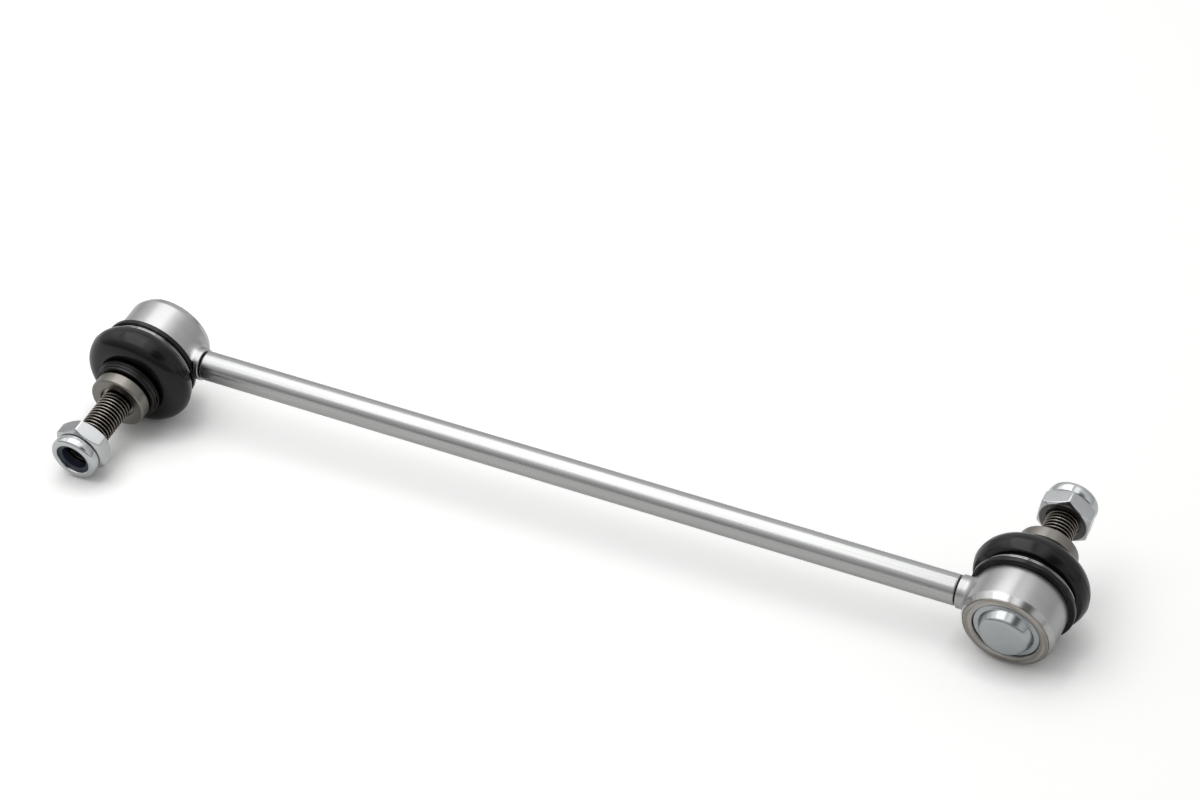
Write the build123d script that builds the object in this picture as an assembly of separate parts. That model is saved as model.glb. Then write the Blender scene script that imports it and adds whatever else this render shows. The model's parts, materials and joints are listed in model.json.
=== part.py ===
from build123d import *
import math
import os

# Stabilizer link, in millimetres. X runs along the rod from end A to end B, Z is up as the link
# lies on a floor, and the origin is the middle of the rod. Each end is drawn about its own ball:
# local Z points out along the stud, local X points at the middle of the rod.

# The link as a whole
centre_distance = 350.0  # from ball to ball
stud_roll = 13.4  # degrees that the studs are turned about the rod when the link lies down

# Rod and its joint with the neck of each housing
rod_d = 11.3
neck_d = 12.3
neck_length = 3.95  # from the side of the housing to the end face of the neck
neck_fillet = 2.4
weld_gap = 0.6  # groove between the neck and the full diameter of the rod
weld_d = 9.4  # diameter at the bottom of that groove
spigot_d = 7.0
spigot_length = 5.0
edge_break = 0.35

# Ball joint
ball_d = 18.0
ball_flat = 0.8  # cut off the bottom of the ball
ball_clearance = 0.05  # between ball and seat
seat_d = 24.4
seat_top = 4.4
seat_floor = 9.8  # depth of the underside of the seat below the ball's centre
seat_hole_d = 11.0
seat_slots = 6
seat_slot_width = 1.2
seat_slot_depth = 5.5

# Housing
housing_d = 34.5
housing_shoulder = 4.05  # height of the step that the boot's lip stands on
chamfer_top = 9.2  # depth at which the outer chamfer starts
chamfer_width = 1.3
rim_drop = 11.8  # depth of the chamfer's lower edge
rim_crest = 12.2  # depth of the highest point of the rolled rim
rim_bore_d = 24.8
mouth_d = 21.6  # opening for the stud at the top face
throat_d = 17.2  # narrowest opening for the stud
throat_height = 0.6
housing_top = 8.6
groove_d = 31.8
bead_d = 32.4
bead_height = 0.7
clip_room = 2.45  # beyond the housing's side, turned away for the lip through the neck's root

# Closing cap
cap_d = 26.4
cap_thickness = 1.0
dome_d = 20.6
dome_height = 4.2
dome_wall = 1.0  # of the dome's side, measured across
dome_round = 2.3

# Rubber boot
boot_fit = 0.05  # clearance of the boot's beads on steel
boot_wall = 2.0
lip_d = 38.6
lip_height = 2.0
bulge_ring_d = 28.8  # circle that the middle of the fold follows
bulge_r = 7.1
bulge_rise = 12.9  # height of the middle of the fold
bulge_start = -35.0  # degrees from level at which the fold leaves the clip
bulge_end = 105.0  # degrees from level at which it meets the upper lip
upper_lip_d = 26.2
upper_lip_base = 20.5
upper_lip_height = 1.2
upper_bead_d = 25.0
boot_top = 24.3

# Wire clips
wire_d = 0.6
lower_turns = 3
upper_turns = 2
lower_clip_groove_d = 35.4
upper_clip_groove_d = 24.2

# Ball stud
stud_neck_d = 10.4
stud_cone_start = 14.0
stud_cone_end = 18.6
boot_seat_d = 14.8
collar_seat_d = 12.6
collar_seat_length = 4.1
relief_d = 10.0
relief_length = 0.8
thread_d = 11.9
thread_end = 56.4
tip_chamfer = 1.0

# Collar on the stud
collar_back = 24.85
collar_front = 30.1
collar_d = 22.4
collar_mouth_d = 13.8
collar_chamfer = 0.5

# Lock nut with its nylon insert
nut_across_flats = 19.0
nut_height = 12.0
nut_hex_height = 7.0
nut_bearing_d = 17.4
nut_chamfer_angle = 30.0
nut_countersink = 0.9  # width of the cone that opens the thread at the bearing face
nut_seat = {"a": 50.0, "b": 43.0}  # height of the bearing face of each nut
nut_turn = {"a": 29.5, "b": 41.0}  # degrees from local X to a corner of each nut
waist_d = 17.8  # where the crimped collar leaves the hexagon
crimp_d = 18.9
crimp_swell = 9.2  # height at which the collar reaches its full diameter
crimp_round = 1.9
crimp_bore_d = 13.4
crimp_lip = 1.25  # thickness of metal turned in over the insert
lip_round = 0.85
thread_clearance = 0.05
insert_d = 15.1
insert_height = 2.9
insert_clearance = 0.05

# Values worked out from the ones above
rod_r = rod_d / 2
ball_r = ball_d / 2
housing_r = housing_d / 2
neck_reach = housing_r + neck_length
cap_face = seat_floor + cap_thickness
clip_floor_r = lower_clip_groove_d / 2
upper_groove_base = upper_lip_base + upper_lip_height


def spun(*edges):
    """One turn about local Z of a closed outline drawn as (radius, height)."""
    return revolve(Plane.XZ * make_face(Curve() + list(edges)), Axis.Z)


def ring(inner_r, outer_r, low, high):
    """A plain ring about local Z."""
    outline = [(inner_r, low), (outer_r, low), (outer_r, high), (inner_r, high)]
    return spun(Polyline(*outline, close=True))


def neck_stub():
    """The round stub that leaves the housing towards the rod, still without its bore."""
    start = housing_r - neck_fillet
    stub = Cylinder(neck_d / 2, neck_reach - start, align=(Align.CENTER, Align.CENTER, Align.MIN))
    stub = chamfer(stub.edges().sort_by(Axis.Z)[-1], edge_break)
    return Location((start, 0, 0), (0, 90, 0)) * stub


def housing():
    """Turned eye: cup for the seat, rolled rim at the bottom, boot groove and stud mouth on top."""
    rim_outer_r = housing_r - chamfer_width
    rim_bore_r = rim_bore_d / 2
    crest = ((rim_bore_r + rim_outer_r) / 2, -rim_crest)
    outside = spun(
        Polyline((0, -rim_drop), (rim_bore_r, -rim_drop)),
        ThreePointArc((rim_bore_r, -rim_drop), crest, (rim_outer_r, -rim_drop)),
        Polyline(
            (rim_outer_r, -rim_drop),
            (housing_r, -chamfer_top),
            (housing_r, housing_top),
            (0, housing_top),
            (0, -rim_drop),
        ),
    )
    body = outside + neck_stub()
    root = body.edges().filter_by(lambda e: e.center().X > housing_r - neck_fillet)
    root = [e for e in root if abs(e.bounding_box().max.X - housing_r) < 0.1]
    body = fillet(root, neck_fillet)
    body -= boot_groove()
    body -= cup_inside()
    socket = Cylinder(spigot_d / 2, spigot_length, align=(Align.CENTER, Align.CENTER, Align.MAX))
    return body - Location((neck_reach, 0, 0), (0, 90, 0)) * socket


def boot_groove():
    """What is turned away for the boot's lower lip and its clip, through the root of the neck too."""
    clear_r = housing_r + clip_room
    bead_base = housing_top - bead_height
    return spun(
        Polyline(
            (groove_d / 2, housing_shoulder),
            (clear_r, housing_shoulder),
            (clear_r, housing_top + 1),
            (bead_d / 2, housing_top + 1),
            (bead_d / 2, bead_base),
            (groove_d / 2, bead_base),
            close=True,
        )
    )


def cup_inside():
    """The hollow of the housing: stud mouth, throat, seat bore and the recess for the cap."""
    return spun(
        Polyline(
            (0, housing_top + 1),
            (mouth_d / 2, housing_top + 1),
            (mouth_d / 2, housing_top),
            (throat_d / 2, seat_top + throat_height),
            (throat_d / 2, seat_top),
            (seat_d / 2, seat_top),
            (seat_d / 2, -seat_floor),
            (cap_d / 2, -seat_floor),
            (cap_d / 2, -cap_face),
            (rim_bore_d / 2, -cap_face),
            (rim_bore_d / 2, -rim_crest - 1),
            (0, -rim_crest - 1),
            close=True,
        )
    )


def ball_seat():
    """Plastic liner that wraps the ball past its equator, slotted so that the ball snaps in."""
    inner_r = ball_r + ball_clearance
    hole_r = seat_hole_d / 2
    mouth_r = math.sqrt(inner_r**2 - seat_top**2)
    lower_z = -math.sqrt(inner_r**2 - hole_r**2)
    liner = spun(
        Polyline(
            (hole_r, lower_z),
            (hole_r, -seat_floor),
            (seat_d / 2, -seat_floor),
            (seat_d / 2, seat_top),
            (mouth_r, seat_top),
        ),
        ThreePointArc((mouth_r, seat_top), (inner_r, 0), (hole_r, lower_z)),
    )
    slot = Pos(0, 0, seat_top) * Box(
        seat_d, seat_slot_width, seat_slot_depth, align=(Align.MIN, Align.CENTER, Align.MAX)
    )
    for i in range(seat_slots):
        liner -= Rot(0, 0, 360 / seat_slots * (i + 0.5)) * slot
    return liner


def closing_cap():
    """Pressed disc under the rolled rim, with its round-shouldered dome standing out at the bottom."""
    top = -cap_face - dome_height
    hollow = top + cap_thickness
    wall_r = dome_d / 2
    disc = spun(
        Polyline(
            (0, top),
            (wall_r, top),
            (wall_r, -cap_face),
            (cap_d / 2, -cap_face),
            (cap_d / 2, -seat_floor),
            (wall_r - dome_wall, -seat_floor),
            (wall_r - dome_wall, hollow),
            (0, hollow),
            close=True,
        )
    )
    circles = disc.edges().filter_by(GeomType.CIRCLE)
    brow = circles.filter_by_position(Axis.Z, top - 0.01, top + 0.01)
    disc = fillet(brow, dome_round)
    circles = disc.edges().filter_by(GeomType.CIRCLE)
    inner_brow = circles.filter_by_position(Axis.Z, hollow - 0.01, hollow + 0.01)
    return fillet(inner_brow, dome_round - dome_wall)


def boot():
    """Hollow rubber bellows of one fold, with a bead in the housing's groove and one on the stud."""
    low = housing_shoulder + boot_fit
    lip_top = low + lip_height
    band_top = lip_top + lower_turns * wire_d + 2 * boot_fit
    seat_r = groove_d / 2 + boot_fit
    bead_r = bead_d / 2 + boot_fit
    bead_base = housing_top - bead_height - boot_fit
    stud_r = boot_seat_d / 2 + boot_fit
    ring_r = bulge_ring_d / 2
    inner_r = bulge_r - boot_wall
    bulge_middle = (bulge_start + bulge_end) / 2

    def fold(radius, degrees):
        angle = math.radians(degrees)
        return ring_r + radius * math.cos(angle), bulge_rise + radius * math.sin(angle)

    outer_low, outer_high = fold(bulge_r, bulge_start), fold(bulge_r, bulge_end)
    inner_low, inner_high = fold(inner_r, bulge_start), fold(inner_r, bulge_end)
    clip_r = upper_clip_groove_d / 2
    clip_top = upper_groove_base + upper_turns * wire_d + 2 * boot_fit
    return spun(
        Polyline(
            (seat_r, low),
            (lip_d / 2, low),
            (lip_d / 2, lip_top),
            (clip_floor_r, lip_top),
            (clip_floor_r, band_top),
            outer_low,
        ),
        ThreePointArc(outer_low, fold(bulge_r, bulge_middle), outer_high),
        Polyline(
            outer_high,
            (upper_lip_d / 2, upper_lip_base),
            (upper_lip_d / 2, upper_groove_base),
            (clip_r, upper_groove_base),
            (clip_r, clip_top),
            (upper_bead_d / 2, clip_top),
            (upper_bead_d / 2, boot_top),
            (stud_r, boot_top),
            (stud_r, inner_high[1] + boot_wall),
            inner_high,
        ),
        ThreePointArc(inner_high, fold(inner_r, bulge_middle), inner_low),
        Polyline(
            inner_low,
            (bead_r, housing_top + boot_fit),
            (bead_r, bead_base),
            (seat_r, bead_base),
            (seat_r, low),
        ),
    )


def wire_clip(floor_r, base, turns):
    """Spring wire wound side by side: a flat bore against the rubber and a scalloped outside."""
    inner_r = floor_r + boot_fit
    middle_r = inner_r + wire_d / 2
    top = base + turns * wire_d
    edges = [Polyline((middle_r, top), (inner_r, top), (inner_r, base), (middle_r, base))]
    for i in range(turns):
        low = base + i * wire_d
        edges.append(
            ThreePointArc(
                (middle_r, low), (middle_r + wire_d / 2, low + wire_d / 2), (middle_r, low + wire_d)
            )
        )
    return spun(*edges)


def ball_stud():
    """Ball, neck, cone, seat for the boot's bead, seat for the collar, and the threaded shank."""
    flat_z = -(ball_r - ball_flat)
    neck_r = stud_neck_d / 2
    neck_z = math.sqrt(ball_r**2 - neck_r**2)
    flat_r = math.sqrt(ball_r**2 - flat_z**2)
    relief_base = collar_back + collar_seat_length
    thread_base = relief_base + relief_length
    thread_r = thread_d / 2
    return spun(
        Polyline((0, flat_z), (flat_r, flat_z)),
        ThreePointArc((flat_r, flat_z), (ball_r, 0), (neck_r, neck_z)),
        Polyline(
            (neck_r, neck_z),
            (neck_r, stud_cone_start),
            (boot_seat_d / 2, stud_cone_end),
            (boot_seat_d / 2, collar_back),
            (collar_seat_d / 2, collar_back),
            (collar_seat_d / 2, relief_base),
            (relief_d / 2, relief_base),
            (relief_d / 2, thread_base),
            (thread_r, thread_base),
            (thread_r, thread_end - tip_chamfer),
            (thread_r - tip_chamfer, thread_end),
            (0, thread_end),
            (0, flat_z),
        ),
    )


def stud_collar():
    """Ring pressed on the stud's shoulder, with a wider mouth where the thread leaves it."""
    mouth_base = collar_back + collar_seat_length
    collar_r = collar_d / 2
    return spun(
        Polyline(
            (collar_seat_d / 2, collar_back),
            (collar_r - collar_chamfer, collar_back),
            (collar_r, collar_back + collar_chamfer),
            (collar_r, collar_front - collar_chamfer),
            (collar_r - collar_chamfer, collar_front),
            (collar_mouth_d / 2, collar_front),
            (collar_mouth_d / 2, mouth_base),
            (collar_seat_d / 2, mouth_base),
            close=True,
        )
    )


def chamfered_height(outer_r, inner_r):
    """How far the nut's chamfer drops from one radius to another."""
    return (outer_r - inner_r) * math.tan(math.radians(nut_chamfer_angle))


def lock_nut():
    """Hexagon nut from its bearing face up, with the crimped collar that holds the insert."""
    corner_r = nut_across_flats / math.sqrt(3)
    bearing_r = nut_bearing_d / 2
    waist_r = waist_d / 2
    bore_r = thread_d / 2 + thread_clearance
    hexagon = extrude(RegularPolygon(nut_across_flats / 2, 6, major_radius=False), nut_hex_height)
    chamfers = spun(
        Polyline(
            (0, 0),
            (bearing_r, 0),
            (corner_r, chamfered_height(corner_r, bearing_r)),
            (corner_r, nut_hex_height - chamfered_height(corner_r, waist_r)),
            (waist_r, nut_hex_height),
            (0, nut_hex_height),
            close=True,
        )
    )
    body = (hexagon & chamfers) + crimped_collar()
    body -= Cylinder(bore_r, nut_height, align=(Align.CENTER, Align.CENTER, Align.MIN))
    countersink_r = bore_r + nut_countersink
    depth = chamfered_height(countersink_r, bore_r)
    body -= spun(
        Polyline((0, 0), (countersink_r, 0), (bore_r, depth), (0, depth), close=True)
    )
    return body - insert_pocket()


def crimped_collar():
    """The collar of the nut: it swells from the waist, rounds over and turns in over the insert."""
    outer_r = crimp_d / 2
    inner_r = crimp_bore_d / 2
    diagonal = math.sqrt(0.5)
    shoulder = (outer_r, nut_height - crimp_round)
    crest_out = (outer_r - crimp_round, nut_height)
    bend = (crest_out[0] + crimp_round * diagonal, shoulder[1] + crimp_round * diagonal)
    crest_in = (inner_r + lip_round, nut_height)
    mouth = (inner_r, nut_height - lip_round)
    curl = (crest_in[0] - lip_round * diagonal, mouth[1] + lip_round * diagonal)
    return spun(
        Polyline((0, nut_hex_height), (waist_d / 2, nut_hex_height), (outer_r, crimp_swell), shoulder),
        ThreePointArc(shoulder, bend, crest_out),
        Line(crest_out, crest_in),
        ThreePointArc(crest_in, curl, mouth),
        Polyline(mouth, (0, mouth[1]), (0, nut_hex_height)),
    )


def insert_base():
    """Height of the underside of the insert above the nut's bearing face."""
    return nut_height - crimp_lip - insert_height - insert_clearance


def insert_pocket():
    """Room for the insert, open at the top through the crimped lip."""
    base = insert_base() - insert_clearance
    pocket = Cylinder(
        insert_d / 2 + insert_clearance,
        nut_height - crimp_lip - base,
        align=(Align.CENTER, Align.CENTER, Align.MIN),
    )
    opening = Cylinder(crimp_bore_d / 2, nut_height - base, align=(Align.CENTER, Align.CENTER, Align.MIN))
    return Pos(0, 0, base) * (pocket + opening)


def nylon_insert():
    """Ring inside the crimped collar that grips the thread."""
    base = insert_base()
    return ring(thread_d / 2 + thread_clearance, insert_d / 2, base, base + insert_height)


def link_rod():
    """Straight bar along X, with a spigot in each neck and a groove where it meets the neck."""
    length = centre_distance - 2 * (neck_reach + weld_gap)
    bar = Cylinder(rod_r, length)
    bar = chamfer(bar.edges().filter_by(GeomType.CIRCLE), edge_break)
    welds = Cylinder(weld_d / 2, length + 2 * weld_gap)
    spigots = Cylinder(spigot_d / 2, length + 2 * (weld_gap + spigot_length))
    return Rot(0, 90, 0) * (bar + welds + spigots)


def end_place(end):
    """Where an end's own axes lie in the link: its origin, its X and its Z."""
    side = 1 if end == "b" else -1
    roll = math.radians(stud_roll)
    stud = (0, side * math.cos(roll), side * math.sin(roll))
    return Plane(origin=(side * centre_distance / 2, 0, 0), x_dir=(-side, 0, 0), z_dir=stud)


def end_pieces(end):
    """Every piece of one end, in place, by its node's name."""
    lower_base = housing_shoulder + 2 * boot_fit + lip_height
    upper_base = upper_groove_base + boot_fit
    screwed = Location((0, 0, nut_seat[end]), (0, 0, nut_turn[end]))
    local = {
        "housing": housing(),
        "ball_seat": ball_seat(),
        "closing_cap": closing_cap(),
        "boot": boot(),
        "lower_boot_clip": wire_clip(clip_floor_r, lower_base, lower_turns),
        "upper_boot_clip": wire_clip(upper_clip_groove_d / 2, upper_base, upper_turns),
        "ball_stud": ball_stud(),
        "stud_collar": stud_collar(),
        "lock_nut": screwed * lock_nut(),
        "nylon_insert": screwed * nylon_insert(),
    }
    place = end_place(end).location
    return {name + "_" + end: place * piece for name, piece in local.items()}


pieces = {"link_rod": link_rod()}
for end in ("a", "b"):
    pieces.update(end_pieces(end))

os.makedirs("parts", exist_ok=True)
for name, piece in pieces.items():
    export_step(piece, "parts/" + name + ".step")
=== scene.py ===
import bmesh
import bpy
import math
import numpy as np
from mathutils import Matrix, Vector
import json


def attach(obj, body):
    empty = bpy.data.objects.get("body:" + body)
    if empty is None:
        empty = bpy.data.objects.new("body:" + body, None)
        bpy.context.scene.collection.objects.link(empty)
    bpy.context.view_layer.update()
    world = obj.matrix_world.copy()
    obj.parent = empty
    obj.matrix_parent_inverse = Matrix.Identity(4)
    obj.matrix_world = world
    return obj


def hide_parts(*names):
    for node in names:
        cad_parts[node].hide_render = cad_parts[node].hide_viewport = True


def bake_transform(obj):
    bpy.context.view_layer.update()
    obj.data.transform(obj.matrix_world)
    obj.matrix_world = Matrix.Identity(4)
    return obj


# Stabilizer link, dressed over its CAD frame. Sizes of the object are in millimetres and turn to
# metres when a piece is put in place. Each end is drawn about its own ball: local Z points out
# along the stud, local X points at the middle of the rod.

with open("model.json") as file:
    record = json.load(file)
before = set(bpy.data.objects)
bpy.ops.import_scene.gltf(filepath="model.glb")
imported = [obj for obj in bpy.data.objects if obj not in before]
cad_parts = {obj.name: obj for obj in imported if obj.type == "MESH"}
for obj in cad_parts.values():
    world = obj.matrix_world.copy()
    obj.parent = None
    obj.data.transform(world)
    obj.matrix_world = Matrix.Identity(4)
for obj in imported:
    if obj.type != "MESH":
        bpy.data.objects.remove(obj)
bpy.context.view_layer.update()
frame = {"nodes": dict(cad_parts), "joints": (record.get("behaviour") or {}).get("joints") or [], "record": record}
joints = {joint["name"]: joint for joint in frame["joints"]}
MM = 0.001
ENDS = ("a", "b")
half_length = abs(joints["stud_spin_b"]["pos_m"][0])  # metres from the middle of the rod to a ball
stud_axis = joints["stud_spin_b"]["axis"]
stud_lean = math.atan2(stud_axis[1], stud_axis[2])  # turn about X that brings a stud upright

# How finely pieces are drawn
round_steps = 144
stud_steps = 96
wire_steps = 120  # along each turn
wire_sides = 12
merge_reach = 2e-7  # metres
sharp_angle = 33  # degrees from which an edge stays sharp

# Camera, solved from the outlines in the photograph
camera_place = (0.46635, -0.93694, 0.72000)
camera_right = (0.8946, 0.4465, 0.0186)
camera_up = (-0.2593, 0.4846, 0.8354)
lens_mm = 104.76

# Floor under the link as it lies: on the boot of end A and on the housing of end B
floor_under_a = -24.12
floor_under_b = -18.95
floor_reach = 4.0  # metres
floor_glow = 0.25  # what the camera sees of the backdrop on top of the lit paper
floor_in_gloss = 0.15  # share of that white in reflections
# The floor's glow fades near touching pieces: painted contact shade.
contact_reach = 13.0  # how far the dark under a touching piece spreads
contact_power = 2.0  # the higher, the darker it is

# Light
world_level = 0.50
softbox_size = (1.05, 1.7)
softbox_place = (-0.55, -0.1, 1.2)
softbox_watts = 9.5
tent_radius = 3.0
# Grey of the studio walls by angle, from the camera's side (0) over the top to the far side (1)
tent_levels = (
    (0.0, 0.28),
    (0.08, 0.37),
    (0.145, 0.52),
    (0.21, 0.70),
    (0.28, 0.84),
    (0.45, 0.92),
    (0.60, 0.92),
    (0.70, 0.80),
    (0.80, 0.70),
    (1.0, 0.56),
)
# The same walls from the left (0) over the top (0.5) to the right (1), as a share of that grey
side_levels = ((0.0, 0.74), (0.10, 0.82), (0.18, 1.0), (0.61, 1.0), (0.70, 0.74), (1.0, 0.76))
# Cloth stretched round the softbox and a black flag beside it, each by the same two angles
cloth_level = 0.42
cloth_along = ((0.0, 0.0), (0.24, 0.0), (0.31, 1.0), (0.62, 1.0), (0.70, 0.0), (1.0, 0.0))
cloth_across = ((0.0, 0.0), (0.09, 0.0), (0.21, 1.0), (0.59, 1.0), (0.64, 0.0), (1.0, 0.0))
flag_level = -0.48
flag_along = ((0.0, 0.0), (0.16, 0.0), (0.22, 1.0), (0.46, 1.0), (0.56, 0.0), (1.0, 0.0))
flag_across = ((0.0, 0.0), (0.63, 0.0), (0.67, 1.0), (0.77, 1.0), (0.84, 0.0), (1.0, 0.0))
# The wall behind the softbox is held darker, as the softbox's own light adds to it
behind_level = -0.95
behind_along = ((0.0, 0.0), (0.27, 0.0), (0.33, 1.0), (0.62, 1.0), (0.70, 0.0), (1.0, 0.0))
behind_across = ((0.0, 0.0), (0.22, 0.0), (0.30, 1.0), (0.46, 1.0), (0.55, 0.0), (1.0, 0.0))

# Rod
rod_r = 5.65
rod_end = 153.2  # from the middle of the rod
weld_r = 4.7
weld_width = 0.6
spigot_r = 3.5
spigot_end = 158.8

# Housing
housing_r = 17.25
shoulder = 4.05  # height of the step under the boot's lip
chamfer_top = 9.2
rim_drop = 11.8
rim_crest = 12.2
rim_r = 15.95
rim_bore_r = 12.4
crease = 0.28  # groove between the rolled rim and the chamfer
rim_inner_share = 0.7  # of the rim's bend, on the side of its bore
groove_r = 15.9
groove_top = 7.9
top_bead_r = 16.2
housing_top = 8.6
mouth_edge_r = 10.8
throat_r = 8.6
throat_top = 5.0
seat_top = 4.4
seat_bore_r = 12.2

# Neck that leaves the housing towards the rod
neck_root_r = 15.5
neck_r_out = 6.15
neck_end = 21.2
neck_fillet = 2.4
neck_edge = 0.35
lip_room = 19.7  # radius about the stud that is cleared for the boot's lip

# Closing cap
cap_face = 10.8  # depths below the ball's centre
cap_back = 9.8
cap_r = 13.2
dome_depth = 15.0
dome_foot_r = 10.3
dome_flat_r = 7.06
dome_brow = 2.2
dome_draft = 25.2  # degrees that the dome's side leans in
flange_depth = 11.1
flange_r = 12.15
gap_depth = 10.3  # dark ring between the flange and the rolled rim
gap_r = 12.3
dimple_r = 1.3
dimple = 0.18
cap_wall = 1.0
inner_flat_extra = 0.4  # by which the flat is wider on the inside

# Boot: the fold is part of a ring-shaped tube
fold_ring_r = 14.4
fold_rise = 12.9
fold_r = 6.98  # the parting line brings it to the CAD's 7.1
fold_wall = 2.0
fold_start = -35.0  # degrees from level
fold_end = 105.0
parting = 0.12  # height of the mould's parting line round the fold
parting_reach = 1.6  # degrees of the fold that it takes up
fold_seam = 14.0  # height at which the two halves of the boot meet
bend_start = 8.0
bend_end = 19.7
lip_r = 19.3
lip_base = 4.1
lip_top = 6.1
clip_floor_r = 17.7
clip_floor_top = 8.0
bead_r = 16.25
bead_base = 7.85
bead_top = 8.65
seat_r = 15.95
upper_lip_r = 13.1
upper_lip_base = 20.5
upper_lip_top = 21.7
upper_floor_r = 12.1
upper_floor_top = 23.0
boot_end_r = 12.5
boot_top = 24.3
stud_hole_r = 7.45

# Spring wire clips
wire_r = 0.27
wire_step = 0.61
lower_turns = 3
lower_wire_base = 6.13
lower_wire_r = 18.04
upper_turns = 2
upper_wire_base = 21.74
upper_wire_r = 12.45
crossing = 0.07  # share of a turn in which the wire steps up beside the turn before

# Ball stud
ball_r = 9.0
ball_flat = 8.2
neck_r = 5.2
cone_start = 14.0
cone_end = 18.6
boot_seat_r = 7.4
collar_seat_r = 6.3
collar_back = 24.85
relief_start = 28.95
relief_r = 5.0
thread_start = 29.75
thread_end = 56.4
thread_r = 5.95
tip_r = 4.95
pitch = 1.5
thread_depth = 0.92
crest_flat = 1 / 8  # shares of the pitch
root_flat = 1 / 4
rows_per_pitch = 16

# Collar on the stud
collar_r = 11.2
collar_front = 30.1
collar_chamfer = 0.5
mouth_r = 6.9
mouth_chamfer = 0.35

# Lock nut and its insert
nut_seat = {"a": 50.0, "b": 43.0}
nut_turn = {"a": 29.5, "b": 41.0}
nut_flat_r = 9.5  # from the axis to a flat
nut_bearing_r = 8.7
nut_hex_height = 7.0
nut_height = 12.0
waist_r = 8.9
crease_r = 8.55  # bottom of the crease between the hexagon and the crimped collar
crease_rise = 0.25  # of that bottom above the hexagon
swell_out = 0.16  # by which the collar is wider than the waist where it starts to swell
crimp_r = 9.45
crimp_swell = 9.2
swell_start = 7.8
crimp_round = 1.9
crimp_bore_r = 6.7
crimp_lip = 1.25
lip_round = 0.85
nut_bore_r = 6.0
countersink_r = 6.9
pocket_r = 7.6
pocket_base = 7.75
chamfer_slope = math.tan(math.radians(30))
corner_ease = 0.12  # taken off each corner of the hexagon
corner_hardness = 20  # the higher, the tighter the corner's bend
insert_r = 7.55
insert_base = 7.8
insert_top = 10.7
insert_bore_r = {"a": 5.15, "b": 6.0}  # still round on nut A, opened by the thread on nut B
insert_ease = 0.45  # rounding of the ring's mouth


def linear(hex_colour):
    """sRGB hex to linear RGBA."""
    parts = [int(hex_colour[i : i + 2], 16) / 255 for i in (1, 3, 5)]
    return tuple(c / 12.92 if c <= 0.04045 else ((c + 0.055) / 1.055) ** 2.4 for c in parts) + (1.0,)


def add(tree, kind, inputs=None, **settings):
    """One node with its settings; an input is a value or another node's output."""
    node = tree.nodes.new(kind)
    for name, value in settings.items():
        setattr(node, name, value)
    for name, value in (inputs or {}).items():
        if isinstance(value, bpy.types.NodeSocket):
            tree.links.new(value, node.inputs[name])
        else:
            node.inputs[name].default_value = value
    return node


def reckon(tree, operation, *values):
    """Result of one sum over values or other nodes' outputs."""
    return add(tree, "ShaderNodeMath", dict(enumerate(values)), operation=operation).outputs[0]


# Shapes


def rounded(corners):
    """Line through corners (r, z, reach): each corner is a parabola that leaves its two sides at reach."""
    corners = np.array(corners, float)
    points, reach = corners[..., :2], corners[..., 2:, None]
    before = np.roll(points, 1, axis=-2) - points
    after = np.roll(points, -1, axis=-2) - points
    before = (before / np.linalg.norm(before, axis=-1, keepdims=True))[..., None, :]
    after = (after / np.linalg.norm(after, axis=-1, keepdims=True))[..., None, :]
    u = np.linspace(0, 1, 7)[:, None]
    line = points[..., None, :] + reach * ((1 - u) ** 2 * before + u**2 * after)
    return line.reshape(*points.shape[:-2], -1, 2)


def plain(line):
    """A line of (r, z) as corners that stay as they are."""
    return [(r, z, 0) for r, z in line]


def arc(centre, radius, start, end, steps=28):
    """Points on a circle in the (r, z) plane, between two angles in degrees."""
    angle = np.radians(np.linspace(start, end, steps))
    return np.stack([centre[0] + radius * np.cos(angle), centre[1] + radius * np.sin(angle)], -1)


def around(line, angles=None):
    """A line (r, z) carried round local Z: x = r cos a, y = r sin a. It may change with the angle."""
    angles = np.linspace(0, 2 * np.pi, round_steps + 1) if angles is None else angles
    line = line if line.ndim == 3 else line[None]
    r, z = line[..., 0].T, line[..., 1].T
    return np.stack([r * np.cos(angles), r * np.sin(angles), z + 0 * angles], -1)


def placed(end, points):
    """Points in an end's own axes and millimetres, brought to the frame and metres."""
    ball = np.array(joints["stud_spin_" + end]["pos_m"])
    out = np.array(joints["stud_spin_" + end]["axis"])
    inward = np.array([-np.sign(ball[0]), 0.0, 0.0])
    return ball + np.array(points) * MM @ np.stack([inward, np.cross(out, inward), out])


def mesh_of_grid(name, points, closed=False):
    """Mesh over a grid of points: each four neighbours make a face; rows may close on themselves."""
    rows, columns = points.shape[:2]
    mesh = bpy.data.meshes.new(name)
    index = np.arange(rows * columns).reshape(rows, columns)
    index = np.concatenate([index, index[:1]]) if closed else index
    quads = np.stack([index[:-1, :-1], index[:-1, 1:], index[1:, 1:], index[1:, :-1]], -1).reshape(-1, 4)
    mesh.vertices.add(rows * columns)
    mesh.vertices.foreach_set("co", points.reshape(-1).astype(np.float32))
    mesh.loops.add(quads.size)
    mesh.loops.foreach_set("vertex_index", quads.reshape(-1).astype(np.int32))
    mesh.polygons.add(len(quads))
    mesh.polygons.foreach_set("loop_start", np.arange(0, quads.size, 4, dtype=np.int32))
    mesh.update(calc_edges=True)
    return mesh


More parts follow.
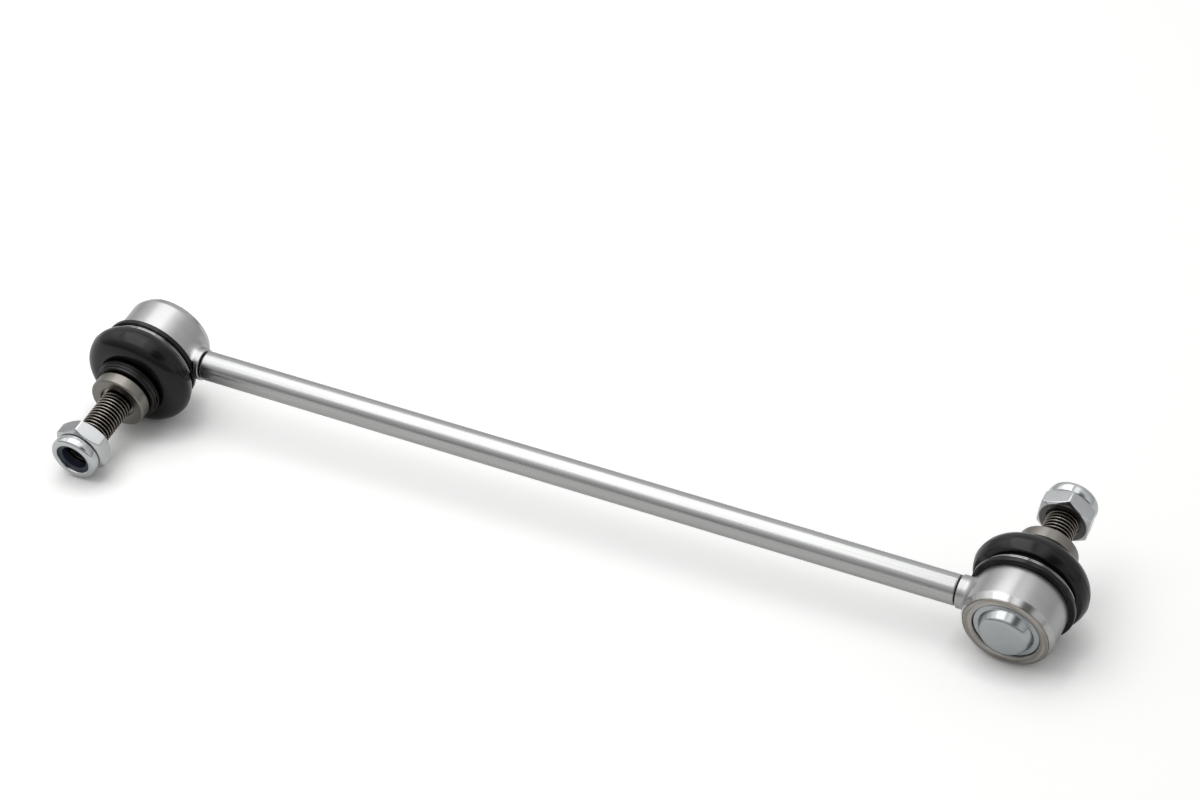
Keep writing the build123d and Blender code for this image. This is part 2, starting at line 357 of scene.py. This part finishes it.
def piece(name, points, look, closed=False):
    """Solid over a grid: seams and poles merged, faces outward, smooth but for its sharp edges."""
    mesh = mesh_of_grid(name, points, closed)
    shape = bmesh.new()
    shape.from_mesh(mesh)
    bmesh.ops.remove_doubles(shape, verts=shape.verts, dist=merge_reach)
    bmesh.ops.recalc_face_normals(shape, faces=shape.faces)
    shape.to_mesh(mesh)
    shape.free()
    mesh.polygons.foreach_set("use_smooth", np.ones(len(mesh.polygons), bool))
    mesh.set_sharp_from_angle(angle=math.radians(sharp_angle))
    solid = bpy.data.objects.new(name, mesh)
    bpy.context.scene.collection.objects.link(solid)
    mesh.materials.append(looks[look])
    return solid


def dress(name, end, points, body, node, look, closed=False):
    """A rigid piece of one end, put on its body in the place of its CAD node."""
    solid = piece(name + "_" + end, placed(end, points), look, closed)
    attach(solid, body + "_" + end if body != "link" else body)
    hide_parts(node + "_" + end)


# Pieces


def make_rod():
    """Drawn bar: its half outline (r, x) mirrored, then turned about X."""
    half = [
        (rod_r, rod_end, 0.8),
        (weld_r, rod_end, 0.15),
        (weld_r, rod_end + weld_width, 0),
        (spigot_r, rod_end + weld_width, 0),
        (spigot_r, spigot_end, 0),
        (0, spigot_end, 0),
    ]
    line = rounded([(r, -x, reach) for r, x, reach in reversed(half)] + half)
    turned = around(line) * MM
    bar = piece("drawn_rod", turned[..., [2, 0, 1]], "rod_steel")
    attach(bar, "link")
    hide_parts("link_rod")


def housing_line():
    """Wall of the turned eye: rolled rim, crease, chamfer, side, boot groove, stud mouth and cup."""
    crest = (rim_r - crease + rim_bore_r) / 2
    half = crest - rim_bore_r
    bend_r = (half**2 + (rim_crest - rim_drop) ** 2) / (2 * (rim_crest - rim_drop))
    slope = math.degrees(math.asin(half / bend_r))
    rim = arc((crest, bend_r - rim_crest), bend_r, -rim_inner_share * slope - 90, slope - 90)
    outside = [
        (rim_r - crease / 2, crease - rim_drop, 0),
        (rim_r + 0.04, 0.08 - rim_drop, 0),
        (housing_r, -chamfer_top, 0.5),
        (housing_r, shoulder, 0.35),
        (groove_r, shoulder, 0),
        (groove_r, groove_top, 0),
        (top_bead_r, groove_top, 0),
        (top_bead_r, housing_top, 0.2),
        (mouth_edge_r, housing_top, 0.2),
        (throat_r, throat_top, 0),
        (throat_r, seat_top, 0),
        (seat_bore_r, seat_top, 0),
        (seat_bore_r, -cap_back, 0),
        (cap_r, -cap_back, 0),
        (cap_r, -cap_face, 0),
        (rim_bore_r, -cap_face, 0),
        (rim_bore_r, 0.04 - rim_drop, 0.3),
    ]
    return rounded(outside + plain(rim))


def neck_points():
    """Neck: circles of radius q about local X, each bent onto a cylinder about the stud,
    x = sqrt(R squared - y squared), so that its fillet starts on the housing's side; then its flat end.
    Where R is within the room for the boot's lip, the height stops at the shoulder."""
    bend = np.linspace(0, np.pi / 2, 13)
    big_r = np.concatenate([[housing_r - 0.5], housing_r + neck_fillet * (1 - np.cos(bend)), [lip_room] * 2])
    small_r = neck_r_out + neck_fillet * (1 - np.sin(bend))
    small_r = np.concatenate([[small_r[0]], small_r, [neck_r_out] * 2])[:, None]
    turn = np.linspace(0, 2 * np.pi, round_steps + 1)
    y, z = small_r * np.cos(turn), small_r * np.sin(turn)
    z[:-1] = np.minimum(z[:-1], shoulder)
    sleeve = np.stack([np.sqrt(big_r[:, None] ** 2 - y**2), y, z], -1)
    end = [(neck_r_out, neck_end - 2 * neck_edge, 0), (neck_r_out, neck_end, neck_edge), (0, neck_end, 0)]
    face = around(rounded(end), turn)[..., [2, 0, 1]]
    root = np.broadcast_to([neck_root_r, 0.0, 0.0], (1, len(turn), 3))
    return np.concatenate([root, sleeve, face])


def cap_line():
    """Underside of the pressed cap: dimple, flat, round brow, leaning side, foot, flange and the dark gap,
    then its back."""
    brow = arc((dome_flat_r, dome_brow - dome_depth), dome_brow, -90, -dome_draft, 14)
    face = [(0, dimple - dome_depth, 0), (dimple_r, -dome_depth, 0.7)] + plain(brow)
    rest = [
        (dome_foot_r, -flange_depth, 0.2),
        (flange_r, -flange_depth, 0.2),
        (gap_r, -gap_depth, 0),
        (cap_r, -gap_depth, 0),
        (cap_r, -cap_back, 0),
        (dome_foot_r - cap_wall, -cap_back, 0),
        (dome_flat_r + inner_flat_extra, cap_wall - dome_depth, 0.8),
        (0, cap_wall - dome_depth, 0),
    ]
    return rounded(face + rest)


def boot_lines():
    """Closed walls of the boot's two halves, below and above the seam on the fold."""
    middle = (fold_ring_r, fold_rise)
    inner_r = fold_r - fold_wall
    outer_seam = math.degrees(math.asin((fold_seam - fold_rise) / fold_r))
    inner_seam = math.degrees(math.asin((fold_seam - fold_rise) / inner_r))
    inner_high = arc(middle, inner_r, fold_end, inner_seam)
    lower = [
        (seat_r, lip_base, 0),
        (lip_r, lip_base, 0.5),
        (lip_r, lip_top, 0.3),
        (clip_floor_r, lip_top, 0),
        (clip_floor_r, clip_floor_top, 0.2),
    ]
    lower += plain(arc(middle, fold_r, fold_start, -parting_reach, 20))
    lower += [(fold_ring_r + fold_r + parting, fold_rise, 0)]
    lower += plain(arc(middle, fold_r, parting_reach, outer_seam, 6))
    lower += plain(arc(middle, inner_r, inner_seam, fold_start))
    lower += plain([(bead_r, bead_top), (bead_r, bead_base), (seat_r, bead_base)])
    upper = plain(arc(middle, fold_r, outer_seam, fold_end)) + [
        (upper_lip_r, upper_lip_base, 0.3),
        (upper_lip_r, upper_lip_top, 0.35),
        (upper_floor_r, upper_lip_top, 0),
        (upper_floor_r, upper_floor_top, 0),
        (boot_end_r, upper_floor_top, 0.15),
        (boot_end_r, boot_top, 0.35),
        (stud_hole_r, boot_top, 0),
        (stud_hole_r, inner_high[0][1] + fold_wall, 0),
    ]
    upper += plain(inner_high)
    return rounded(lower), rounded(upper)


def make_boot(end):
    """Rubber bellows: the lower half runs from the housing to the fold, the upper half from the fold to the stud.
    """
    lower, upper = boot_lines()
    halves = (
        ("boot_lower", lower, "link", "boot_fold_" + end, bend_start, fold_seam),
        ("boot_upper", upper, "boot_fold_" + end, "boot_ring_" + end, fold_seam, bend_end),
    )
    for name, line, first, second, low, high in halves:
        half = piece(name + "_" + end, placed(end, around(line)), "boot_rubber", closed=True)
        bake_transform(half)
        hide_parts("boot_" + end)


def wire(turns, base, ring_r):
    """Round wire wound in level turns that each step up beside the last: a circle carried along."""
    turned = np.linspace(0, turns - 1.2 * crossing, turns * wire_steps)
    part = np.clip((turned % 1 - 1 + crossing) / crossing, 0, 1)
    level = np.floor(turned) + part**2 * (3 - 2 * part)
    thick = np.full(len(turned), wire_r)
    thick[[0, -1]] = 0
    around_wire = np.linspace(0, 2 * np.pi, wire_sides + 1)
    r = ring_r + thick[:, None] * np.cos(around_wire)
    z = base + wire_step * (level[:, None] + 0.5) + thick[:, None] * np.sin(around_wire)
    angle = 2 * np.pi * turned[:, None] + 0 * around_wire
    return np.stack([r * np.cos(angle), r * np.sin(angle), z], -1)


def stud_points():
    """Ball, neck and seats turned about Z, then the thread: a V carried up a helix, and the flat tip."""
    turn = np.linspace(0, 2 * np.pi, stud_steps + 1)
    lowest = -math.degrees(math.asin(ball_flat / ball_r))
    highest = math.degrees(math.acos(neck_r / ball_r))
    shank = [(0, -ball_flat, 0)] + plain(arc((0, 0), ball_r, lowest, highest)) + [
        (neck_r, cone_start, 0.8),
        (boot_seat_r, cone_end, 0.6),
        (boot_seat_r, collar_back, 0),
        (collar_seat_r, collar_back, 0),
        (collar_seat_r, relief_start, 0.15),
        (relief_r, relief_start, 0.15),
        (relief_r, thread_start, 0),
    ]
    rows = np.arange(round((thread_end - thread_start) / pitch * rows_per_pitch) + rows_per_pitch + 1)
    along = thread_start - pitch + rows * pitch / rows_per_pitch
    from_crest = np.abs(rows / rows_per_pitch % 1 - 0.5) * 2
    cut = np.clip((from_crest - crest_flat) / (1 - root_flat - crest_flat), 0, 1)
    z = np.clip(along[:, None] + pitch * turn / (2 * np.pi), thread_start, thread_end)
    r = np.minimum(thread_r - thread_depth * cut[:, None], tip_r + thread_end - z)
    r = np.minimum(r, relief_r + z - thread_start)
    thread = np.stack([r * np.cos(turn), r * np.sin(turn), z], -1)
    tip = around(np.array([(tip_r, thread_end), (0, thread_end)]), turn)
    return np.concatenate([around(rounded(shank), turn), thread, tip])


def collar_line():
    """Ring with chamfered outer edges and a wider, chamfered mouth."""
    edge_r = collar_r - collar_chamfer
    return rounded(
        [
            (collar_seat_r, collar_back, 0),
            (edge_r, collar_back, 0.12),
            (collar_r, collar_back + collar_chamfer, 0.12),
            (collar_r, collar_front - collar_chamfer, 0.14),
            (edge_r, collar_front, 0.14),
            (mouth_r + mouth_chamfer, collar_front, 0.1),
            (mouth_r, collar_front - mouth_chamfer, 0.1),
            (mouth_r, relief_start, 0),
            (collar_seat_r, relief_start, 0),
        ]
    )


def nut_points(end):
    """Hexagon r = flat / cos(angle from a flat), eased at its corners, cut by a cone at each end,
    with the crimped collar above it; each column is the rounded line at its own angle."""
    share = np.linspace(-1, 1, 37)[:-1]
    from_flat = np.tile(30 * np.sin(share * np.pi / 2), 6)
    angles = nut_turn[end] + 30 + np.repeat(np.arange(6) * 60, len(share)) + from_flat
    hexagon = nut_flat_r / np.cos(np.radians(from_flat))
    corner = nut_flat_r / math.cos(math.radians(30)) - corner_ease
    hexagon = hexagon - np.log1p(np.exp(corner_hardness * (hexagon - corner))) / corner_hardness
    low = (hexagon - nut_bearing_r) * chamfer_slope
    high = nut_hex_height - (hexagon - waist_r) * chamfer_slope
    corners = [
        (countersink_r, 0, 0.1),
        (nut_bearing_r, 0, 0.2),
        (hexagon, low, 0.22),
        (hexagon, high, 0.22),
        (crease_r, nut_hex_height + crease_rise, 0.12),
        (waist_r + swell_out, swell_start, 0.3),
        (crimp_r, crimp_swell, 0.7),
        (crimp_r, nut_height, crimp_round),
        (crimp_bore_r, nut_height, lip_round),
        (crimp_bore_r, nut_height - crimp_lip, 0),
        (pocket_r, nut_height - crimp_lip, 0),
        (pocket_r, pocket_base, 0),
        (nut_bore_r, pocket_base, 0),
        (nut_bore_r, (countersink_r - nut_bore_r) * chamfer_slope, 0),
    ]
    columns = np.stack([np.stack([np.broadcast_to(v, hexagon.shape) for v in c], -1) for c in corners], 1)
    line = rounded(columns)
    line = np.concatenate([line, line[:1]])
    angles = np.radians(np.append(angles, angles[0] + 360))
    return around(line, angles) + (0, 0, nut_seat[end])


def insert_points(end):
    """Nylon ring whose mouth is eased inwards."""
    bore = insert_bore_r[end]
    outside = [(bore, insert_base, 0), (insert_r, insert_base, 0), (insert_r, insert_top, 0)]
    line = rounded(outside + [(bore, insert_top, insert_ease)])
    return around(line) + (0, 0, nut_seat[end])


# Camera, floor, lamps and backdrop


def set_camera():
    """The camera as it stood for the photograph."""
    data = bpy.data.cameras.new("camera")
    data.sensor_width = 36.0
    data.lens = lens_mm
    data.clip_start = 0.01
    data.clip_end = 50.0
    camera = bpy.data.objects.new("camera", data)
    bpy.context.scene.collection.objects.link(camera)
    right, up = Vector(camera_right).normalized(), Vector(camera_up)
    back = right.cross(up).normalized()
    up = back.cross(right)
    axes = Matrix((right, up, back)).transposed().to_4x4()
    camera.matrix_world = Matrix.Translation(camera_place) @ axes
    bpy.context.scene.camera = camera


def floor_height(x):
    """Height of the floor in metres at a place along the link."""
    share = (x + half_length) / (2 * half_length)
    return (floor_under_a + (floor_under_b - floor_under_a) * share) * MM


def seen_directly(tree, in_gloss=1.0):
    """1 for rays from the camera or through glass, a share of that in gloss, 0 for all other light."""
    path = add(tree, "ShaderNodeLightPath").outputs
    gloss = reckon(tree, "MULTIPLY", path["Is Glossy Ray"], in_gloss)
    seen = reckon(tree, "MAXIMUM", path["Is Camera Ray"], gloss)
    return reckon(tree, "MAXIMUM", seen, path["Is Transmission Ray"])


def set_floor():
    """White floor that keeps the link's shadow, darkened near touching pieces as painted contact shade, and stays
    white where nothing shades it.
    """
    sides = np.array([(-1, -1), (1, -1), (1, 1), (-1, 1)]) * floor_reach
    mesh = bpy.data.meshes.new("floor")
    mesh.from_pydata([(x, y, floor_height(x)) for x, y in sides.tolist()], [], [(0, 1, 2, 3)])
    floor = bpy.data.objects.new("floor", mesh)
    bpy.context.scene.collection.objects.link(floor)
    material = bpy.data.materials.new("white_paper_floor")
    material.use_nodes = True
    tree = material.node_tree
    tree.nodes.clear()
    seen = seen_directly(tree, floor_in_gloss)
    # Ambient occlusion takes the glow away near touching pieces: painted contact shade on the floor.
    open_air = add(tree, "ShaderNodeAmbientOcclusion", {"Distance": contact_reach * MM}, samples=8)
    open_air = reckon(tree, "POWER", open_air.outputs["AO"], contact_power)
    glow = reckon(tree, "MULTIPLY", reckon(tree, "MULTIPLY", seen, floor_glow), open_air)
    white = {"Fac": seen, "Color1": linear("#E4E4E3"), "Color2": linear("#FAFAF9")}
    colour = add(tree, "ShaderNodeMixRGB", white).outputs[0]
    paper = add(tree, "ShaderNodeBsdfDiffuse", {"Color": colour})
    light = add(tree, "ShaderNodeEmission", {"Color": linear("#FFFFFF"), "Strength": glow})
    both = add(tree, "ShaderNodeAddShader", {0: paper.outputs[0], 1: light.outputs[0]})
    add(tree, "ShaderNodeOutputMaterial", {"Surface": both.outputs[0]})
    mesh.materials.append(material)


def set_world():
    """White where the camera or a reflection sees it, and a plain soft level as light."""
    world = bpy.data.worlds.new("studio")
    bpy.context.scene.world = world
    world.use_nodes = True
    tree = world.node_tree
    tree.nodes.clear()
    span = {"Value": seen_directly(tree), "To Min": world_level, "To Max": 1.0}
    level = add(tree, "ShaderNodeMapRange", span)
    light = add(tree, "ShaderNodeBackground", {"Color": linear("#FFFFFF"), "Strength": level.outputs[0]})
    add(tree, "ShaderNodeOutputWorld", {"Surface": light.outputs[0]})


def set_softbox():
    """Large softbox level over the link, to the left of it."""
    data = bpy.data.lights.new("softbox", "AREA")
    data.shape = "RECTANGLE"
    data.size, data.size_y = softbox_size
    data.energy = softbox_watts
    lamp = bpy.data.objects.new("softbox", data)
    bpy.context.scene.collection.objects.link(lamp)
    lamp.location = softbox_place


def ramp(tree, value, levels):
    """Grey levels that follow a value from 0 to 1."""
    node = add(tree, "ShaderNodeValToRGB", {"Fac": value})
    node.color_ramp.interpolation = "EASE"
    while len(node.color_ramp.elements) < len(levels):
        node.color_ramp.elements.new(0.5)
    for element, (at, level) in zip(node.color_ramp.elements, levels):
        element.position = at
        element.color = (level, level, level, 1.0)
    return node.outputs["Color"]


def set_tent():
    """Studio walls that only glossy surfaces reflect: a half ball whose grey follows two angles, with a
    lighter cloth, a dark flag and a darker wall behind the softbox."""
    u, v = np.linspace(0, 2 * np.pi, 65), np.linspace(0, np.pi / 2, 17)[:, None]
    ball = np.stack([np.cos(v) * np.cos(u), np.cos(v) * np.sin(u), np.sin(v) + 0 * u], -1)
    mesh = mesh_of_grid("tent", ball * tent_radius)
    tent = bpy.data.objects.new("tent", mesh)
    bpy.context.scene.collection.objects.link(tent)
    tent.visible_camera = False
    tent.visible_diffuse = False
    tent.visible_shadow = False
    tent.visible_transmission = False
    tent.visible_volume_scatter = False
    material = bpy.data.materials.new("studio_wall")
    material.use_nodes = True
    tree = material.node_tree
    tree.nodes.clear()
    place = add(tree, "ShaderNodeTexCoord")
    split = add(tree, "ShaderNodeSeparateXYZ", {0: place.outputs["Object"]})
    shares = []
    for axis in ("Y", "X"):
        level = reckon(tree, "MULTIPLY", split.outputs[axis], -1.0)
        angle = reckon(tree, "ARCTAN2", split.outputs["Z"], level)
        shares.append(reckon(tree, "DIVIDE", angle, math.pi))
    along, across = shares
    total = 0.0
    for share, by_along, by_across in (
        (1.0, tent_levels, side_levels),
        (cloth_level, cloth_along, cloth_across),
        (flag_level, flag_along, flag_across),
        (behind_level, behind_along, behind_across),
    ):
        both = reckon(tree, "MULTIPLY", ramp(tree, along, by_along), ramp(tree, across, by_across))
        total = reckon(tree, "MULTIPLY_ADD", both, share, total)
    light = add(tree, "ShaderNodeEmission", {"Strength": total})
    add(tree, "ShaderNodeOutputMaterial", {"Surface": light.outputs[0]})
    mesh.materials.append(material)


# Materials


def new_look(name, metallic):
    """A material named for its real finish, with its tree and its shader."""
    material = bpy.data.materials.new(name)
    material.use_nodes = True
    shader = material.node_tree.nodes["Principled BSDF"]
    shader.inputs["Metallic"].default_value = metallic
    return material, material.node_tree, shader


def surface(tree, shader, marks, dark, light, rough, depth_mm=0.0):
    """Colour, roughness and fine relief that all follow one pattern of marks."""
    tint = add(tree, "ShaderNodeMixRGB", {"Fac": marks, "Color1": linear(dark), "Color2": linear(light)})
    tree.links.new(tint.outputs[0], shader.inputs["Base Color"])
    rough = add(tree, "ShaderNodeMapRange", {"Value": marks, "To Min": rough[0], "To Max": rough[1]})
    tree.links.new(rough.outputs[0], shader.inputs["Roughness"])
    relief = add(tree, "ShaderNodeBump", {"Height": marks, "Distance": depth_mm * MM})
    tree.links.new(relief.outputs[0], shader.inputs["Normal"])


def about_stud(tree):
    """Where a point lies about the stud of the nearer end: its two places across, its radius, its height."""
    place = add(tree, "ShaderNodeTexCoord").outputs["Object"]
    upright = add(tree, "ShaderNodeMapping", {"Vector": place, "Rotation": (stud_lean, 0, 0)})
    split = add(tree, "ShaderNodeSeparateXYZ", {0: upright.outputs[0]})
    across = reckon(tree, "SUBTRACT", reckon(tree, "ABSOLUTE", split.outputs["X"]), half_length)
    flat = add(tree, "ShaderNodeCombineXYZ", {0: across, 1: split.outputs["Y"]})
    radius = add(tree, "ShaderNodeVectorMath", {0: flat.outputs[0]}, operation="LENGTH")
    height = reckon(tree, "MULTIPLY", split.outputs["Z"], reckon(tree, "SIGN", split.outputs["X"]))
    return across, split.outputs["Y"], radius.outputs["Value"], height


def about_rod(tree):
    """How far a point lies from the middle line of the rod."""
    place = add(tree, "ShaderNodeTexCoord").outputs["Object"]
    flat = add(tree, "ShaderNodeVectorMath", {0: place, 1: (0, 1, 1)}, operation="MULTIPLY")
    return add(tree, "ShaderNodeVectorMath", {0: flat.outputs[0]}, operation="LENGTH").outputs["Value"]


def turning_marks(tree, spacing_mm, drift_mm):
    """Noise in rings about the stud: it changes with radius + 1.7 height, and slowly round."""
    across, beside, radius, height = about_stud(tree)
    ring = reckon(tree, "MULTIPLY_ADD", height, 1.7, radius)
    ringed = add(tree, "ShaderNodeCombineXYZ", {0: across, 1: beside, 2: ring})
    scale = (1 / (drift_mm * MM), 1 / (drift_mm * MM), 1 / (spacing_mm * MM))
    stretched = add(tree, "ShaderNodeVectorMath", {0: ringed.outputs[0], 1: scale}, operation="MULTIPLY")
    noise = {"Vector": stretched.outputs[0], "Scale": 1.0, "Detail": 3.0}
    return add(tree, "ShaderNodeTexNoise", noise).outputs[0]


def between(tree, value, start_mm, end_mm):
    """0 up to start, 1 from end on, for a value in metres."""
    span = {"Value": value, "From Min": start_mm * MM, "From Max": end_mm * MM}
    return add(tree, "ShaderNodeMapRange", span).outputs[0]


def tinted(tree, shader, share, hex_colour, rough):
    """Draws the shader's colour and roughness towards others where share is 1."""
    colour, before = shader.inputs["Base Color"], shader.inputs["Roughness"]
    tint = {"Fac": share, "Color1": colour.links[0].from_socket, "Color2": linear(hex_colour)}
    tree.links.new(add(tree, "ShaderNodeMixRGB", tint).outputs[0], colour)
    level = {"Value": share, "To Min": before.links[0].from_socket, "To Max": rough}
    tree.links.new(add(tree, "ShaderNodeMapRange", level).outputs[0], before)


def above_seat(tree):
    """Height of a point over the bearing face of its own nut, which differs from end to end."""
    place = add(tree, "ShaderNodeTexCoord")
    split = add(tree, "ShaderNodeSeparateXYZ", {0: place.outputs["Object"]})
    seats = {"To Min": nut_seat["a"] * MM, "To Max": nut_seat["b"] * MM}
    middle = {"Value": split.outputs["X"], "From Min": -0.1, "From Max": 0.1}
    seat = add(tree, "ShaderNodeMapRange", middle | seats)
    return reckon(tree, "SUBTRACT", about_stud(tree)[3], seat.outputs[0])


def grain(tree, size_mm, stretch=(1, 1, 1)):
    """Noise of one size in millimetres, drawn out along an axis where stretch is under 1."""
    place = add(tree, "ShaderNodeTexCoord")
    pulled = add(tree, "ShaderNodeMapping", {"Vector": place.outputs["Object"], "Scale": stretch})
    noise = {"Vector": pulled.outputs[0], "Scale": 1 / (size_mm * MM), "Detail": 3.0}
    return add(tree, "ShaderNodeTexNoise", noise).outputs[0]


def drawn_steel():
    """Cold-drawn bar: fine lines along the rod, coarser than real so that they show; its groove is painted dark as
    shade.
    """
    material, tree, shader = new_look("satin_drawn_steel", 1.0)
    marks = grain(tree, 0.7, (0.02, 1, 1))
    surface(tree, shader, marks, "#ADAEAD", "#CBCCCB", (0.20, 0.32), 0.014)
    radius = about_rod(tree)
    # The weld's groove is painted near-black: painted shade in the recess.
    tinted(tree, shader, between(tree, radius, rod_r - 0.4, weld_r + 0.2), "#2A2826", 0.6)
    return material


def turned_steel():
    """Turned and barrelled steel: soft rings round each stud, a smoother chamfer, a warmer rolled rim painted
    darker as reflected shade.
    """
    material, tree, shader = new_look("satin_turned_steel", 1.0)
    marks = turning_marks(tree, 0.9, 18)
    surface(tree, shader, marks, "#B1B2B1", "#C4C5C4", (0.28, 0.36), 0.004)
    height = about_stud(tree)[3]
    tinted(tree, shader, between(tree, height, -chamfer_top, -chamfer_top - 0.5), "#C2C3C2", 0.18)
    rim = between(tree, height, -rim_drop + 0.4, -rim_drop)
    # The rolled rim is tinted warmer and painted darker: the darkening is painted reflection of the shaded floor.
    tinted(tree, shader, rim, "#9A958F", 0.22)
    lines = add(tree, "ShaderNodeMapRange", {"Value": marks, "From Min": 0.50, "From Max": 0.60}).outputs[0]
    tinted(tree, shader, reckon(tree, "MULTIPLY", lines, rim), "#BBB7B2", 0.18)
    return material


def zinc_cap():
    """Pressed and zinc-plated sheet: cool grey, smooth, with a faint cloud."""
    material, tree, shader = new_look("zinc_plated_sheet", 1.0)
    marks = grain(tree, 4.0)
    surface(tree, shader, marks, "#B6BBBD", "#C0C5C7", (0.17, 0.23), 0.001)
    return material


def acetal():
    """Moulded acetal: creamy white, waxy."""
    material, tree, shader = new_look("moulded_acetal", 0.0)
    surface(tree, shader, grain(tree, 3.0), "#D6D1C1", "#DEDACC", (0.42, 0.52), 0.003)
    return material


def rubber():
    """Moulded neoprene: deep black with a soft streak; its low index keeps the studio's reflection faint."""
    material, tree, shader = new_look("moulded_black_rubber", 0.0)
    shader.inputs["IOR"].default_value = 1.42
    surface(tree, shader, grain(tree, 1.2), "#040404", "#070707", (0.17, 0.23), 0.002)
    return material


def spring_wire():
    """Drawn spring wire: bright and hard in the lower clip, dark in the upper one."""
    material, tree, shader = new_look("drawn_spring_wire", 1.0)
    surface(tree, shader, grain(tree, 4.0), "#B4B3B2", "#C2C1C0", (0.05, 0.08))
    tinted(tree, shader, between(tree, about_stud(tree)[3], 12.0, 14.0), "#4C4A48", 0.2)
    return material


def stud_steel():
    """Heat-treated and lightly oiled steel: warm brownish grey with turning marks."""
    material, tree, shader = new_look("oiled_turned_steel", 1.0)
    marks = turning_marks(tree, 0.6, 9)
    surface(tree, shader, marks, "#837F79", "#938F89", (0.27, 0.36), 0.004)
    return material


def thread_steel():
    """Rolled thread: bright worn crests over roots painted near-black as shade."""
    material, tree, shader = new_look("rolled_thread_painted_root_shade", 1.0)
    surface(tree, shader, turning_marks(tree, 0.6, 9), "#ABA59D", "#BDB7B0", (0.17, 0.24), 0.002)
    radius, height = about_stud(tree)[2:]
    root = between(tree, radius, thread_r - 0.02, thread_r - 0.35)
    side = between(tree, height, thread_end - 0.1, thread_end - 0.3)
    # The thread's roots are painted near-black: painted shade in the grooves.
    tinted(tree, shader, reckon(tree, "MULTIPLY", root, side), "#1E1916", 0.4)
    return material


def zinc_nut():
    """Bright zinc plate over a forged nut: light, cool; the bearing face and the crease are duller and painted
    darker, the face as reflected shade, the crease as shade.
    """
    material, tree, shader = new_look("bright_zinc_plate", 1.0)
    surface(tree, shader, grain(tree, 3.0), "#C8CBCC", "#D3D6D7", (0.11, 0.15), 0.0)
    height = above_seat(tree)
    # The bearing face is painted dark: painted reflection of the shaded floor.
    tinted(tree, shader, between(tree, height, 0.25, 0.05), "#6F6E6C", 0.3)
    below = between(tree, height, nut_hex_height - 0.1, nut_hex_height + 0.1)
    above = between(tree, height, swell_start - 0.1, nut_hex_height + 0.4)
    # The crease between the hexagon and the crimped collar is painted dark: painted shade.
    tinted(tree, shader, reckon(tree, "MULTIPLY", below, above), "#55585A", 0.3)
    return material


def nylon():
    """Moulded nylon ring: dark blue with a waxy sheen."""
    material, tree, shader = new_look("dark_blue_nylon", 0.0)
    surface(tree, shader, grain(tree, 1.5), "#1B2434", "#263042", (0.28, 0.38), 0.003)
    return material


looks = {
    "rod_steel": drawn_steel(),
    "housing_steel": turned_steel(),
    "zinc_cap": zinc_cap(),
    "seat_plastic": acetal(),
    "boot_rubber": rubber(),
    "spring_wire": spring_wire(),
    "stud_steel": stud_steel(),
    "thread_steel": thread_steel(),
    "zinc_nut": zinc_nut(),
    "nylon": nylon(),
}

set_camera()
set_floor()
set_world()
set_softbox()
set_tent()

for part in frame["record"]["subparts"]:
    node = frame["nodes"][part["node"]]
    node.data.materials.clear()
    node.data.materials.append(looks[part["material_slot"]])

make_rod()
for end in ENDS:
    make_boot(end)
    lower_wire = wire(lower_turns, lower_wire_base, lower_wire_r)
    upper_wire = wire(upper_turns, upper_wire_base, upper_wire_r)
    dress("housing", end, around(housing_line()), "link", "housing", "housing_steel", closed=True)
    dress("neck", end, neck_points(), "link", "housing", "housing_steel")
    dress("cap", end, around(cap_line()), "link", "closing_cap", "zinc_cap")
    dress("lower_wire", end, lower_wire, "link", "lower_boot_clip", "spring_wire")
    dress("upper_wire", end, upper_wire, "boot_ring", "upper_boot_clip", "spring_wire")
    dress("stud", end, stud_points(), "stud", "ball_stud", "thread_steel")
    dress("collar", end, around(collar_line()), "stud", "stud_collar", "stud_steel", closed=True)
    dress("nut", end, nut_points(end), "nut", "lock_nut", "zinc_nut", closed=True)
    dress("insert_ring", end, insert_points(end), "insert", "nylon_insert", "nylon", closed=True)

bpy.context.scene.view_settings.view_transform = "Standard"
